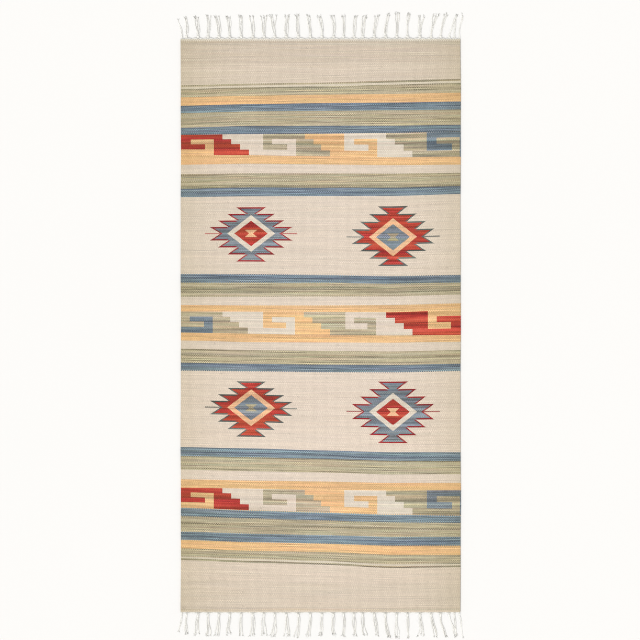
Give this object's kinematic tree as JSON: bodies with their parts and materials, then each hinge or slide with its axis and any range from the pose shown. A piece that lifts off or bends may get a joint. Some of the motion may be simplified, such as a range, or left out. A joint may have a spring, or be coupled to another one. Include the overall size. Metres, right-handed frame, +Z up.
{
  "type": "cotton rug",
  "caption": "Flat-woven cotton rug with coloured stripes, hook bands, stepped diamonds and a knotted fringe at each end.",
  "frame": {"origin": "middle of the rug on the surface it lies on", "axes": "+X across the rug, +Y along it towards the head end, +Z up from the surface"},
  "size_m": [0.714, 1.5646, 0.0046],
  "materials": {
    "woven_cotton": "weft-faced flat weave, matt",
    "raw_cotton": "undyed twisted yarn, matt"
  },
  "bodies": {
    "root": {"rug_cloth": "woven_cotton", "fringe_head_end": "raw_cotton", "fringe_foot_end": "raw_cotton"}
  },
  "joints": []
}
